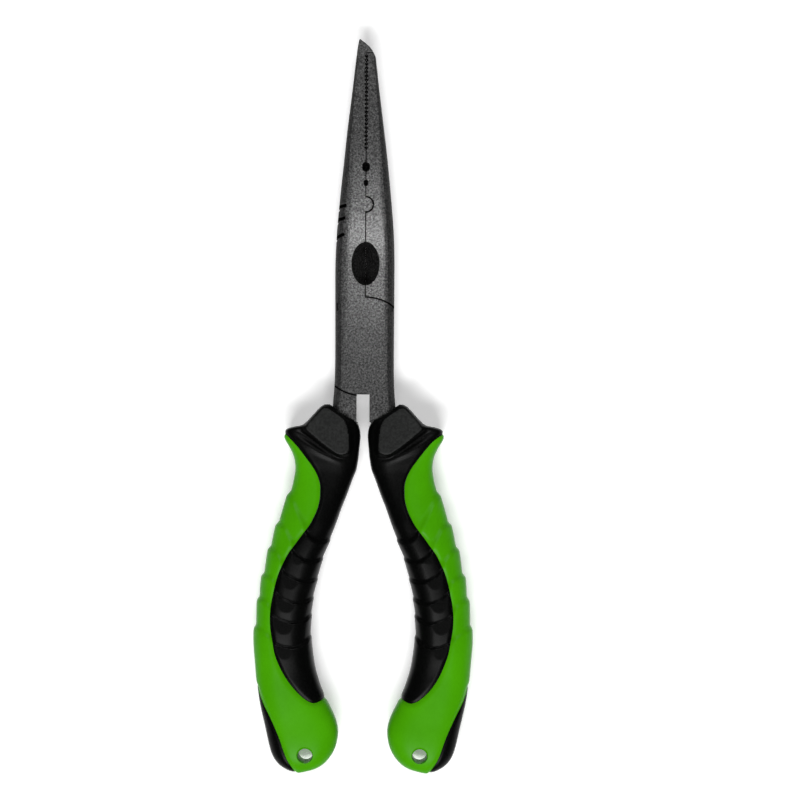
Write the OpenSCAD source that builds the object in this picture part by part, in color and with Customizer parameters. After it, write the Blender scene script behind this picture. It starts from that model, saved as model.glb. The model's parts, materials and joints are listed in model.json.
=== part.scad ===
// Long-nose fishing pliers with a lap joint, moulded two-part grips,
// a finger guard and a lanyard hole in each handle.
// Lying flat: +Z up, jaws towards +Y, origin under the middle of the outline.

/* [Head] */
// Distance from the pivot to the jaw tips
jaw_reach = 92.1; // [91.9:0.1:92.3]
// Thickness of the head at the pivot
head_t = 10; // [9:0.5:11]
// Thickness of the jaws at their tips
tip_t = 4.2; // [3.6:0.1:5]
// Gap between the closed jaws
jaw_gap = 0.16; // [0.1:0.02:0.3]
// Sideways place of the line where the jaws meet
split_x = 0.2; // [0:0.05:0.4]

/* [Teeth] */
// Number of tooth gaps along the nose
tooth_count = 24; // [8:1:24]
// Distance from one tooth gap to the next
tooth_pitch = 1.21; // [1:0.01:1.21]
// Depth of each tooth gap in one jaw
tooth_depth = 0.42; // [0.2:0.02:0.5]

/* [Cutter and crimps] */
// Half width of the oval hollow over the cutting edges
oval_w = 4.3; // [3.5:0.1:4.6]
// Half length of the oval hollow over the cutting edges
oval_l = 6.55; // [5.5:0.05:7]
// Radius of the crimping bump on the left jaw
crimp_r = 2.05; // [1.6:0.05:2.3]
// Width of the gap around the crimping bump
crimp_gap = 0.35; // [0.25:0.05:0.5]

/* [Pivot] */
// Radius of the rivet shank
rivet_r = 3.5; // [3:0.1:4]
// Radius of the flush rivet heads
rivet_head_r = 5.7; // [5:0.1:6.4]
// Depth of each countersunk rivet head
rivet_head_d = 1.8; // [1.2:0.1:2.2]
// Running clearance around the rivet in the front lever
rivet_clear = 0.05; // [0.03:0.01:0.1]
// Radius of the round laps
lap_r = 14.5; // [14:0.1:14.6]
// Clearance around the round laps
lap_clear = 0.22; // [0.15:0.01:0.35]
// Gap between the two laps
lap_gap = 0.1; // [0.05:0.05:0.2]

/* [Tangs] */
// Inner edge of the right tang
tang_in_r = 1.6; // [1.4:0.1:2]
// Inner edge of the left tang
tang_in_l = 2.3; // [2:0.1:2.5]
// Width of the tang bars inside the grips
tang_w = 6.6; // [5.5:0.1:7]
// Thickness of the tang bars inside the grips
tang_t = 8; // [7:0.1:8.4]
// Wall of the liner round the tang
liner_wall = 1; // [0.8:0.1:1.2]

/* [Grips] */
// Distance from the pivot to the handle ends
handle_reach = 127.6; // [127.4:0.1:127.8]
// Thickness of the grips over their flats
grip_t = 15; // [14.6:0.1:15.2]
// Radius of the lanyard holes
lanyard_r = 2.2; // [1.8:0.1:2.5]
// Sideways place of the lanyard holes
lanyard_x = 17.1; // [17:0.1:18]
// Distance of the lanyard holes from the pivot
lanyard_y = 122.2; // [122:0.1:123]
// Points round each grip section
grip_n = 24; // [16:4:24]

/* [Hidden] */
$fn = 64;

mid = grip_t / 2;
pivot_y = (handle_reach - jaw_reach) / 2;
g = jaw_gap / 2;
hook_y = 88.2;      // underside of the split-ring tooth
tooth_top = 87.2;   // first tooth gap
crimp_y = 42.7;
slot1_y = 54.0;
slot2_y = 49.1;
oval_y = 25.1;
tang_end = -22.6;     // where the wide part of the tang stops
steel = [0.36, 0.36, 0.37];
green = [0.42, 0.72, 0.05];
black = [0.10, 0.11, 0.11];
liner = [0.30, 0.31, 0.33];

// ---- smooth curve through control points, highest y first ----
function seg(t, y, i = 0) =
    (i >= len(t) - 2 || y >= t[i + 1][0]) ? i : seg(t, y, i + 1);
function slope(t, i) =
    let(a = max(i - 1, 0), b = min(i + 1, len(t) - 1))
    (t[b][1] - t[a][1]) / (t[b][0] - t[a][0]);
function cv(t, y) =
    let(i = seg(t, y), a = t[i], b = t[i + 1], h = b[0] - a[0],
        u = min(1, max(0, (y - a[0]) / h)), v = u * u, w = v * u)
    (2 * w - 3 * v + 1) * a[1] + (w - 2 * v + u) * slope(t, i) * h
    + (3 * v - 2 * w) * b[1] + (w - v) * slope(t, i + 1) * h;

// ---- solid through a list of equal rings ----
module loft(rings) {
    n = len(rings[0]);
    m = len(rings);
    polyhedron(
        points = [for (r = rings) each r],
        faces = concat(
            [[for (i = [n - 1:-1:0]) i]],
            [[for (i = [0:n - 1]) (m - 1) * n + i]],
            [for (k = [0:m - 2], i = [0:n - 1])
                let(j = (i + 1) % n)
                each [[k * n + i, k * n + j, (k + 1) * n + j],
                      [k * n + i, (k + 1) * n + j, (k + 1) * n + i]]]));
}

// ---- head: outline of the closed jaws, laps and tangs ----
HEAD_L = [[jaw_reach, -1.95], [91.5, -2.2], [90, -2.5], [86, -3], [76, -4.15],
          [64, -5.6], [56, -6.4], [46, -7.45], [36, -8.35], [30, -8.7],
          [24, -8.9], [0, -8.8], [-10, -8.9], [-15, -9.25], [-20, -9.6], [-23, -9.6]];
HEAD_R = [[jaw_reach, -1.6], [91.5, -0.9], [91, -0.2], [90, 1], [89, 1.8],
          [88.2, 2.3], [87, 2.85], [86, 3], [76, 4.15], [64, 5.65], [56, 6.6],
          [46, 7.6], [36, 8.45], [30, 8.75], [24, 8.85], [0, 8.8],
          [-10, 8.85], [-15, 9.1], [-20, 9.5], [-23, 9.5]];
HEAD_Y = concat([jaw_reach, 91.6, 91, 90, 89, 88.2, 87, 86],
                [for (y = [82:-4:26]) y], [22, 14, 6, -2, -8, -12, -16, -19.5, tang_end]);
HEAD_H = [[jaw_reach, tip_t / 2 - 0.7], [91, tip_t / 2 - 0.15], [89, tip_t / 2],
          [76, tip_t / 2 + 0.9], [60, tip_t / 2 + 1.9], [44, head_t / 2 - 0.35],
          [32, head_t / 2], [20, head_t / 2], [-16, head_t / 2], [-23, head_t / 2 - 0.3]];
// edge shape: distance in from the outline, height as a share of half thickness
EDGE = [[0, 0], [0.2, 0.28], [0.7, 0.56], [1.3, 0.8], [2.1, 1]];

function head_ring(y) =
    let(a = cv(HEAD_L, y), b = cv(HEAD_R, y), h = cv(HEAD_H, y),
        k = min(1, (b - a) / 14) * min(1, h / (head_t / 2) + 0.1))
    concat([for (i = [0:4]) [a + k * EDGE[i][0], y, mid + h * EDGE[i][1]]],
           [for (i = [4:-1:0]) [b - k * EDGE[i][0], y, mid + h * EDGE[i][1]]],
           [for (i = [1:4]) [b - k * EDGE[i][0], y, mid - h * EDGE[i][1]]],
           [for (i = [4:-1:1]) [a + k * EDGE[i][0], y, mid - h * EDGE[i][1]]]);
module head_env() { loft([for (y = HEAD_Y) head_ring(y)]); }

// V-shaped tooth gaps down one jaw face, d is -1 for the left jaw
function teeth(d) = [for (i = [0:tooth_count - 1])
    let(y = tooth_top - i * tooth_pitch, w = tooth_pitch * 0.42, x = split_x + d * g)
    each [[x, y + w], [x + d * tooth_depth, y], [x, y - w]]];
module capsule(r, e) { for (s = [-1, 1]) translate([0, s * e]) circle(r = r); }
module slots_2d() {
    translate([split_x, slot1_y]) capsule(1.15, 0.35);
    translate([split_x, slot2_y]) capsule(0.7, 0.3);
}
module left_jaw_2d() {
    difference() {
        union() {
            polygon(concat([[-20, 0], [-20, 100], [20, 100], [20, hook_y + g],
                            [split_x - g, hook_y + g]], teeth(-1), [[split_x - g, 0]]));
            translate([split_x, crimp_y]) circle(r = crimp_r);
        }
        slots_2d();
    }
}
module right_jaw_2d() {
    difference() {
        polygon(concat([[20, 0], [20, hook_y - g], [split_x + g, hook_y - g]],
                       teeth(1), [[split_x + g, 0]]));
        slots_2d();
        translate([split_x, crimp_y]) circle(r = crimp_r + crimp_gap);
    }
}
module lap_2d() {
    intersection() {
        circle(r = lap_r, $fn = 96);
        translate([-20, -14.3]) square([40, 40]);
    }
}
module right_tang_2d() { translate([tang_in_r, -40]) square([30, 40]); }
module left_tang_2d() { translate([-30 - tang_in_l, -40]) square([30, 40]); }

// full-height parts, cleared around the other lever's lap
module outside_lap() {
    translate([0, 0, -1]) linear_extrude(30) difference() {
        children();
        circle(r = lap_r + lap_clear, $fn = 96);
    }
}
// oval hollow sloping down to the cutting edges, from both faces
function oval_ring(a, b, z) = [for (i = [0:31])
    [split_x + a * cos(i * 11.25), oval_y - b * sin(i * 11.25), mid + z]];
module oval_hollow() {
    h = head_t / 2;
    for (s = [0, 1]) mirror([0, 0, s]) translate([0, 0, s * -2 * mid])
        loft([oval_ring(0.3, oval_l * 0.86, 0.25),
              oval_ring(oval_w, oval_l, h),
              oval_ring(oval_w * 1.2, oval_l * 1.05, h + 1)]);
}
module rivet_shape(c) {
    h = head_t / 2;
    rotate_extrude($fn = 64) polygon([
        [0, mid - h - c * 2], [rivet_head_r + c, mid - h - c * 2], [rivet_head_r + c, mid - h],
        [rivet_r + c, mid - h + rivet_head_d + c], [rivet_r + c, mid + h - rivet_head_d - c],
        [rivet_head_r + c, mid + h], [rivet_head_r + c, mid + h + c * 2], [0, mid + h + c * 2]]);
}
// three slanted wire notches across the outer edges of the left jaw
NOTCHES = [[-5.9, 42.3], [-6.1, 38.2], [-6.3, 33.5]];
module edge_notches() {
    for (n = NOTCHES) {
        for (s = [0, 1]) mirror([0, 0, s]) translate([0, 0, -2 * mid * s])
            translate([n[0], n[1], mid + head_t / 2 - 0.6])
                rotate([0, 0, 214]) rotate([0, 115, 0]) cylinder(r = 0.75, h = 6, $fn = 24);
        translate([n[0] - 2.2, n[1] - 1.3, -1]) cylinder(r = 0.6, h = grip_t, $fn = 24);
    }
}

// ---- tang bars and their liners inside the grips, right-hand side ----
TANG_X = [[-20, 5.9], [-25, 6.6], [-30, 7.9], [-40, 11.2], [-50, 15], [-60, 18.7],
          [-70, 21.4], [-80, 22.8], [-90, 22.8], [-100, 21.8]];
function bar_ring(y, x, w, t) = [for (i = [0:15])
    let(c = cos(i * 22.5 + 11.25), s = sin(i * 22.5 + 11.25))
    [x - w / 2 * sign(c) * pow(abs(c), 0.45), y, mid + t / 2 * sign(s) * pow(abs(s), 0.45)]];
module tang_bar() {
    loft([for (y = [-20, tang_end, -26, -30, -35, -40, -45, -50, -55, -60, -65, -70, -75, -80, -86, -92, -98])
        bar_ring(y, cv(TANG_X, y), tang_w, tang_t)]);
}
module liner_body() {
    loft([for (y = [tang_end, -26, -30, -35, -40, -45, -50, -55, -60, -65, -70, -75, -80, -86, -92, -98, -100])
        bar_ring(y, cv(TANG_X, y), tang_w + 2 * liner_wall, tang_t + 2 * liner_wall)]);
}

module front_lever_shape() {
    union() {
        difference() {
            intersection() {
                head_env();
                union() {
                    translate([0, 0, mid + lap_gap / 2]) linear_extrude(20) {
                        left_jaw_2d();
                        lap_2d();
                        right_tang_2d();
                    }
                    outside_lap() { left_jaw_2d(); right_tang_2d(); }
                }
            }
            oval_hollow();
            edge_notches();
            rivet_shape(rivet_clear);
        }
        tang_bar();
    }
}
module rear_lever_shape() {
    union() {
        difference() {
            intersection() {
                head_env();
                union() {
                    translate([0, 0, -1]) linear_extrude(mid - lap_gap / 2 + 1) {
                        right_jaw_2d();
                        lap_2d();
                        left_tang_2d();
                    }
                    outside_lap() { right_jaw_2d(); left_tang_2d(); }
                }
            }
            oval_hollow();
            rivet_shape(0);
        }
        mirror([1, 0, 0]) tang_bar();
    }
}

// ---- grips, right-hand side ----
GRIP_OUT = [[-17.3, 11.9], [-18.2, 13.2], [-20.6, 15.4], [-23, 17.8], [-23.7, 19.2],
            [-24.1, 21.4], [-24.7, 23.1], [-25.6, 23.8], [-26.8, 24], [-28, 23.6],
            [-30, 22.4], [-32, 21.4], [-34, 20.8], [-36.4, 20.6], [-39, 21],
            [-43, 22.2], [-48, 24.1], [-54, 26.3], [-60, 28.2], [-66, 29.7],
            [-72, 31], [-78, 31.9], [-84, 32.5], [-90, 32.7], [-96, 32.3],
            [-102, 31.7], [-108, 30.6], [-114, 29.2], [-119, 28.1], [-122, 27.2],
            [-124, 26.1], [-125.6, 24.6], [-126.8, 22.6], [-127.4, 20.9], [-handle_reach, 20]];
GRIP_IN = [[-17.3, 10.4], [-19, 7.9], [-21, 4.6], [-22, 2.7], [-23, 2],
           [-24.4, 1.4], [-26.6, 1.1], [-28.6, 1.2], [-30.6, 1.4], [-33, 1.6],
           [-35, 1.9], [-37, 2.3], [-39, 3.1], [-42, 4.2], [-45, 5.3], [-48, 6.5],
           [-52, 7.9], [-56, 9.3], [-60, 10.8], [-64, 12.3], [-68, 13.3],
           [-72, 14.3], [-76, 15], [-80, 15.4], [-84, 15.6], [-88, 15.5],
           [-92, 15], [-96, 14.3], [-99, 13.5], [-102, 12.5], [-105, 11.2],
           [-108, 9.7], [-110.5, 8.5], [-112.5, 7.8], [-114.5, 7.4], [-116.5, 7.4],
           [-118.5, 7.7], [-120.5, 8.3], [-122.4, 9.3], [-124, 10.5], [-125.4, 12],
           [-126.6, 14.2], [-127.4, 17.2], [-handle_reach, 18.6]];
GRIP_H = [[-17.3, 5.6], [-18.2, 7], [-20, 7.9], [-24, 8], [-30, 7.8], [-33, 7.4],
          [-36, 6.8], [-40, 6.3], [-44, 6.2], [-50, 6.5], [-56, 7], [-62, 7.5],
          [-70, 7.8], [-80, 7.9], [-88, 7.7], [-96, 7.2], [-104, 6.6],
          [-112, 6.2], [-120, 5.9], [-124, 5.4], [-126.4, 4.4], [-handle_reach, 3]];
GRIP_Y = concat([-17.3, -17.7, -18.4, -19.4, -20.6, -21.8, -22.6, -23.3, -23.8, -24.2, -24.7,
                 -25.4, -26.4, -27.6, -29, -30.5, -32],
                [for (y = [-34:-3:-106]) y], [-108.5, -111, -113.5, -116, -118.5, -121,
                 -123, -124.6, -125.8, -126.7, -127.3, -handle_reach]);
grip_p = 2 / 2.7;    // section exponent: rounder than a box, fuller than an ellipse
function grip_ring(y) =
    let(a = cv(GRIP_IN, y), b = cv(GRIP_OUT, y), h = cv(GRIP_H, y))
    [for (i = [0:grip_n - 1])
        let(c = cos(i * 360 / grip_n), s = sin(i * 360 / grip_n))
        [(a + b) / 2 - (b - a) / 2 * sign(c) * pow(abs(c), grip_p), y,
         mid + h * (abs(s) < 0.001 ? 0 : sign(s) * pow(abs(s), grip_p))]];
module grip_env(top = 0, low = -200) {
    intersection() {
        loft([for (y = GRIP_Y) if (y <= top && y >= low) grip_ring(y)]);
        translate([-5, -140, 0]) cube([50, 140, grip_t]);
    }
}
// boundary between the soft palm side and the hard outer shell
SOFT_X = [[-26.2, 24.6], [-28.7, 21.2], [-31, 19.1], [-33.6, 17], [-36, 15.1],
          [-38.4, 13.8], [-41, 13], [-43.5, 12.9], [-46, 13.1], [-48.7, 13.8],
          [-51.3, 14.9], [-53.5, 16.1], [-56, 17.9], [-59, 20.2], [-62, 22.3],
          [-65, 23.9], [-68, 25.2], [-71, 26.1], [-74.6, 26.9], [-78, 27.5],
          [-81.6, 27.7], [-85, 27.5], [-88.4, 26.9], [-92.4, 26.1], [-96.6, 24.4],
          [-100, 22.4], [-103, 20.2], [-105.3, 18], [-106.7, 15.7], [-107.3, 13.6]];
module soft_2d() {
    polygon(concat([[-5, -10], [30, -10], [30, -26.1]],
                   [for (y = [-26.2:-1.5:-106.7]) [cv(SOFT_X, y), y]],
                   [[15.4, -106.8], [13.6, -107.3], [12.4, -107.1], [11.6, -106.2],
                    [11, -104.8], [-5, -104.4]]));
}
module heel_2d() {
    polygon([[40, -101.1], [32.4, -101.1], [31.5, -102], [31, -103.8], [29.7, -107],
             [28, -110.4], [26.3, -114], [24.9, -117.4], [23.7, -121], [22.5, -124],
             [20.4, -127.2], [19.6, -129], [40, -129]]);
}
module region() { translate([0, 0, -1]) linear_extrude(grip_t + 2) children(); }
module lanyard_hole() {
    translate([lanyard_x, -lanyard_y, -1]) cylinder(r = lanyard_r, h = grip_t + 2);
}
// the wide tang shoulder that a grip is moulded over; e is its inner edge and
// flip is 1 for the left lever, whose outer edge is a little wider
module shoulder(e, flip) {
    intersection() {
        mirror([flip, 0, 0]) head_env();
        translate([e, -40, -1]) cube([30, 40, 30]);
    }
}
module soft_grip(e, flip) {
    difference() {
        intersection() { grip_env(0, -109); region() soft_2d(); }
        liner_body();
        tang_bar();
        shoulder(e, flip);
        // the guard stops at the inner edge of the bare shoulder
        translate([-5, tang_end, -1]) cube([5.05 + e, 30, grip_t + 2]);
    }
}
module hard_shell() {
    difference() {
        grip_env(-25);
        region() soft_2d();
        region() heel_2d();
        liner_body();
        lanyard_hole();
    }
}
module heel_bumper() { intersection() { grip_env(-99); region() heel_2d(); } }
module tang_liner() { difference() { liner_body(); tang_bar(); } }

module place() { translate([0, pivot_y, 0]) children(); }
module place_left() { translate([0, pivot_y, 0]) mirror([1, 0, 0]) children(); }

module front_jaw_lever() { color(steel) place() front_lever_shape(); }
module rear_jaw_lever() { color(steel) place() rear_lever_shape(); }
module pivot_rivet() { color(steel) place() rivet_shape(0); }
module left_tang_liner() { color(liner) place_left() tang_liner(); }
module right_tang_liner() { color(liner) place() tang_liner(); }
module left_hard_shell() { color(green) place_left() hard_shell(); }
module right_hard_shell() { color(green) place() hard_shell(); }
module left_soft_grip() { color(black) place_left() soft_grip(tang_in_l, 1); }
module right_soft_grip() { color(black) place() soft_grip(tang_in_r, 0); }
module left_heel_bumper() { color(black) place_left() heel_bumper(); }
module right_heel_bumper() { color(black) place() heel_bumper(); }

front_jaw_lever();
rear_jaw_lever();
pivot_rivet();
left_tang_liner();
right_tang_liner();
left_hard_shell();
right_hard_shell();
left_soft_grip();
right_soft_grip();
left_heel_bumper();
right_heel_bumper();
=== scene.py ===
import json
import math

import bpy
import mathutils
import bmesh
import numpy as np
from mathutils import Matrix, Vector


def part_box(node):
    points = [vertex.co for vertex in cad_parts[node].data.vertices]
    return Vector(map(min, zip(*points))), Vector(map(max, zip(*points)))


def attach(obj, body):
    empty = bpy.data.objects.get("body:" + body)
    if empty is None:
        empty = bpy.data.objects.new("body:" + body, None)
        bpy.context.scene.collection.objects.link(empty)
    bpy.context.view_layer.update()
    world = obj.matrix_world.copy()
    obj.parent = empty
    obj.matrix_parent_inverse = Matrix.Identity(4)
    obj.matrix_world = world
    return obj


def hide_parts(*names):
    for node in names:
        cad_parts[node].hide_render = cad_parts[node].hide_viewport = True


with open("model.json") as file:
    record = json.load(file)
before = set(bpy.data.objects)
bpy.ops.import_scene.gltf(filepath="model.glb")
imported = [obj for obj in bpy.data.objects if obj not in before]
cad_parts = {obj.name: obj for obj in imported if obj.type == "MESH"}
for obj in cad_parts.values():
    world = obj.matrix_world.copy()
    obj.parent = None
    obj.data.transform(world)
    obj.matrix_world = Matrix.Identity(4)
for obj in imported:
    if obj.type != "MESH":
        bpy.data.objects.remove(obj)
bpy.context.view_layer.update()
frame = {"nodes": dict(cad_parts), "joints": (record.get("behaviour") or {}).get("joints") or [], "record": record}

# ---------------------------------------------------------------- frame
# Shapes below are written in millimetres from the hinge axis, x to the right,
# y to the jaw tips, z from the floor; the hinge and the levels come from the
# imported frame.
HINGE = [j for j in frame["joints"] if j["name"] == "pivot_hinge"][0]
PX, PY = HINGE["pos_m"][0], HINGE["pos_m"][1]
lo_l, hi_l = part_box("front_jaw_lever")
lo_g, hi_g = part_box("right_soft_grip")
lo_s, hi_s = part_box("right_hard_shell")
REACH = (hi_l.y - PY) * 1000.0          # pivot to jaw tips
TAIL = (PY - lo_s.y) * 1000.0           # pivot to handle ends
GRIP_T = hi_g.z * 1000.0                # grip thickness
MID = GRIP_T / 2.0                      # middle plane
HEAD_T = (hi_l.z - lo_l.z) * 1000.0     # head thickness
HOLE = [m for m in frame["record"]["mounts"] if m["name"] == "right_lanyard_hole"][0]
HX = (HOLE["pos_m"][0] - PX) * 1000.0
HY = (HOLE["pos_m"][1] - PY) * 1000.0
HR = HOLE["dims"]["r_mm"]
SX = 0.2                                # where the jaws meet
G = 0.17                                # half the relief gap beside the jaw faces
LAND = 0.004                            # half the gap between the faces themselves


def cv(table, y):
    """Smooth curve through control points (y falling), the same rule as the CAD's."""
    t = np.array(table, float)
    ys, vs = -t[:, 0], t[:, 1]
    q = np.clip(-np.asarray(y, float), ys[0], ys[-1])
    i = np.clip(np.searchsorted(ys, q, side="right") - 1, 0, len(ys) - 2)
    m = np.empty(len(ys))
    m[1:-1] = (vs[2:] - vs[:-2]) / (ys[2:] - ys[:-2])
    m[0] = (vs[1] - vs[0]) / (ys[1] - ys[0])
    m[-1] = (vs[-1] - vs[-2]) / (ys[-1] - ys[-2])
    h = ys[i + 1] - ys[i]
    u = (q - ys[i]) / h
    v, w = u * u, u * u * u
    return ((2 * w - 3 * v + 1) * vs[i] + (w - 2 * v + u) * m[i] * h
            + (3 * v - 2 * w) * vs[i + 1] + (w - v) * m[i + 1] * h)


def smooth(t):
    t = np.clip(t, 0.0, 1.0)
    return t * t * (3 - 2 * t)


def catmull(points, n):
    """Points of a smooth open curve through plan points."""
    p = np.array(points, float)
    p = np.vstack([2 * p[0] - p[1], p, 2 * p[-1] - p[-2]])
    out = []
    for i in range(1, len(p) - 2):
        for k in range(n):
            t = k / n
            out.append(0.5 * ((2 * p[i]) + (-p[i - 1] + p[i + 1]) * t
                              + (2 * p[i - 1] - 5 * p[i] + 4 * p[i + 1] - p[i + 2]) * t * t
                              + (-p[i - 1] + 3 * p[i] - 3 * p[i + 1] + p[i + 2]) * t ** 3))
    out.append(p[-2])
    return np.array(out)


def dist_line(X, Y, line):
    """Plan distance from points to a polyline."""
    sh = X.shape
    q = np.stack([X.ravel(), Y.ravel()], 1)
    best = np.full(len(q), 1e9)
    for a, b in zip(line[:-1], line[1:]):
        d = b - a
        L = max(float(d @ d), 1e-9)
        t = np.clip(((q - a) @ d) / L, 0, 1)
        r = q - a - t[:, None] * d
        best = np.minimum(best, (r * r).sum(1))
    return np.sqrt(best).reshape(sh)


def inside(X, Y, poly):
    sh = X.shape
    x, y = X.ravel(), Y.ravel()
    res = np.zeros(len(x), bool)
    n = len(poly)
    for i in range(n):
        x1, y1 = poly[i]
        x2, y2 = poly[(i + 1) % n]
        c = ((y1 > y) != (y2 > y)) & (x < (x2 - x1) * (y - y1) / (y2 - y1 + 1e-12) + x1)
        res ^= c
    return res.reshape(sh)


# ---------------------------------------------------------------- mesh helpers
def new_object(name, verts, faces):
    me = bpy.data.meshes.new(name)
    v = np.asarray(verts, float).copy()
    v[:, 0] = v[:, 0] / 1000.0 + PX
    v[:, 1] = v[:, 1] / 1000.0 + PY
    v[:, 2] = v[:, 2] / 1000.0
    me.from_pydata([tuple(p) for p in v], [], [tuple(f) for f in faces])
    me.validate()
    ob = bpy.data.objects.new(name, me)
    bpy.context.collection.objects.link(ob)
    return ob


def loft(name, rings):
    """Closed solid through equal rings."""
    R = np.asarray(rings, float)
    m, n = R.shape[0], R.shape[1]
    faces = []
    for k in range(m - 1):
        for i in range(n):
            j = (i + 1) % n
            faces.append((k * n + i, (k + 1) * n + i, (k + 1) * n + j, k * n + j))
    faces.append(tuple(range(n)))
    faces.append(tuple(reversed([(m - 1) * n + i for i in range(n)])))
    ob = new_object(name, R.reshape(-1, 3), faces)
    fix_normals(ob)
    return ob


def prism(name, poly, z0, z1):
    p = np.asarray(poly, float)
    n = len(p)
    v = np.zeros((2 * n, 3))
    v[:n, :2] = p
    v[n:, :2] = p
    v[:n, 2] = z0
    v[n:, 2] = z1
    faces = [tuple(reversed(range(n))), tuple(range(n, 2 * n))]
    faces += [(i, (i + 1) % n, n + (i + 1) % n, n + i) for i in range(n)]
    ob = new_object(name, v, faces)
    fix_normals(ob)
    return ob


def lathe(name, cx, cy, prof, n=48):
    """Solid of revolution about a vertical axis; prof runs bottom to top as (r, z), from the axis to the axis."""
    ang = np.linspace(0, 2 * math.pi, n, endpoint=False)
    v, faces = [], []
    rows = []
    for r, z in prof:
        if r < 1e-6:
            rows.append([len(v)])
            v.append((cx, cy, z))
        else:
            rows.append(list(range(len(v), len(v) + n)))
            v += [(cx + r * math.cos(a), cy + r * math.sin(a), z) for a in ang]
    for a, b in zip(rows[:-1], rows[1:]):
        for i in range(n):
            j = (i + 1) % n
            if len(a) == 1:
                faces.append((a[0], b[j], b[i]))
            elif len(b) == 1:
                faces.append((a[i], a[j], b[0]))
            else:
                faces.append((a[i], a[j], b[j], b[i]))
    ob = new_object(name, v, faces)
    fix_normals(ob)
    return ob


def fix_normals(ob):
    bm = bmesh.new()
    bm.from_mesh(ob.data)
    bmesh.ops.recalc_face_normals(bm, faces=bm.faces)
    bm.to_mesh(ob.data)
    bm.free()


def boolean(ob, cutter, op="DIFFERENCE", keep=False):
    m = ob.modifiers.new("b", "BOOLEAN")
    m.operation = op
    m.object = cutter
    m.solver = "EXACT"
    dg = bpy.context.evaluated_depsgraph_get()
    me = bpy.data.meshes.new_from_object(ob.evaluated_get(dg))
    ob.modifiers.remove(m)
    old = ob.data
    ob.data = me
    bpy.data.meshes.remove(old)
    if not keep:
        cm = cutter.data
        bpy.data.objects.remove(cutter)
        bpy.data.meshes.remove(cm)
    return ob


def tidy(ob, angle=30.0, merge=0.004):
    """Merges boolean slivers and sets smooth shading with creases by angle."""
    bm = bmesh.new()
    bm.from_mesh(ob.data)
    bmesh.ops.remove_doubles(bm, verts=bm.verts, dist=merge / 1000.0)
    bmesh.ops.dissolve_degenerate(bm, edges=bm.edges, dist=merge / 1000.0)
    loose = [v for v in bm.verts if not v.link_faces]
    bmesh.ops.delete(bm, geom=loose, context="VERTS")
    wires = [e for e in bm.edges if not e.link_faces]
    bmesh.ops.delete(bm, geom=wires, context="EDGES")
    for f in bm.faces:
        f.smooth = True
    for e in bm.edges:
        e.smooth = not (len(e.link_faces) == 2 and e.calc_face_angle(0) > math.radians(angle))
    bm.to_mesh(ob.data)
    bm.free()
    return ob


def mirrored(ob, name):
    """The same piece on the other handle."""
    me = ob.data.copy()
    me.name = name
    me.transform(mathutils.Matrix(((-1, 0, 0, 2 * PX), (0, 1, 0, 0), (0, 0, 1, 0), (0, 0, 0, 1))))
    me.flip_normals()
    o = bpy.data.objects.new(name, me)
    bpy.context.collection.objects.link(o)
    return o


# ---------------------------------------------------------------- head outline
HEAD_L = [[92.1, -1.95], [91.5, -2.2], [90, -2.5], [86, -3], [76, -4.15],
          [64, -5.6], [56, -6.4], [46, -7.45], [36, -8.35], [30, -8.7],
          [24, -8.9], [0, -8.8], [-10, -8.9], [-15, -9.25], [-20, -9.6], [-23, -9.6]]
HEAD_R = [[92.1, -1.6], [91.5, -0.9], [91, -0.2], [90, 1], [89, 1.8],
          [88.2, 2.3], [87, 2.85], [86, 3], [76, 4.15], [64, 5.65], [56, 6.6],
          [46, 7.6], [36, 8.45], [30, 8.75], [24, 8.85], [0, 8.8],
          [-10, 8.85], [-15, 9.1], [-20, 9.5], [-23, 9.5]]
TIP_T = 4.2
HH = HEAD_T / 2
HEAD_H = [[92.1, TIP_T / 2 - 0.7], [91, TIP_T / 2 - 0.15], [89, TIP_T / 2],
          [76, TIP_T / 2 + 0.9], [60, TIP_T / 2 + 1.9], [44, HH - 0.35],
          [32, HH], [20, HH], [-16, HH], [-23, HH - 0.3]]
EDGE = catmull([(0, 0), (0.06, 0.15), (0.25, 0.4), (0.55, 0.64), (0.85, 0.77),
                (1.3, 0.875), (1.7, 0.95), (2.1, 0.985), (2.9, 1.0)], 3)
EDGE = np.clip(EDGE, 0, 1e9)
EDGE[:, 1] = np.minimum(EDGE[:, 1], 1.0)


def head_ring(y):
    a, b, h = float(cv(HEAD_L, y)), float(cv(HEAD_R, y)), float(cv(HEAD_H, y))
    k = min(1.0, (b - a) / 14.0) * min(1.0, h / HH + 0.1)
    up = [(d * k, e * h) for d, e in EDGE]
    n_top = 9
    ring = [(a + d, MID + z) for d, z in up]
    xa, xb = a + up[-1][0], b - up[-1][0]
    ring += [(xa + (xb - xa) * i / n_top, MID + h) for i in range(1, n_top)]
    ring += [(b - d, MID + z) for d, z in reversed(up)]
    ring += [(b - d, MID - z) for d, z in up[1:]]
    ring += [(xb + (xa - xb) * i / n_top, MID - h) for i in range(1, n_top)]
    ring += [(a + d, MID - z) for d, z in reversed(up[1:])]
    return [(x, y, z) for x, z in ring]


def arc(cx, cy, r, a0, a1, n):
    return [(cx + r * math.cos(math.radians(a0 + (a1 - a0) * i / n)),
             cy + r * math.sin(math.radians(a0 + (a1 - a0) * i / n))) for i in range(n + 1)]


LAP_R, LAP_C = 14.5, 0.48
HOOK = 87.95
TOOTH_TOP, PITCH, DEPTH, TEETH = 86.95, 1.203, 0.60, 24
CRIMP_Y, CRIMP_R, CRIMP_GAP = 42.35, 2.05, 0.48
IN_R, IN_L = 1.6, 2.3
SHOULDER = -22.6


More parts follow.
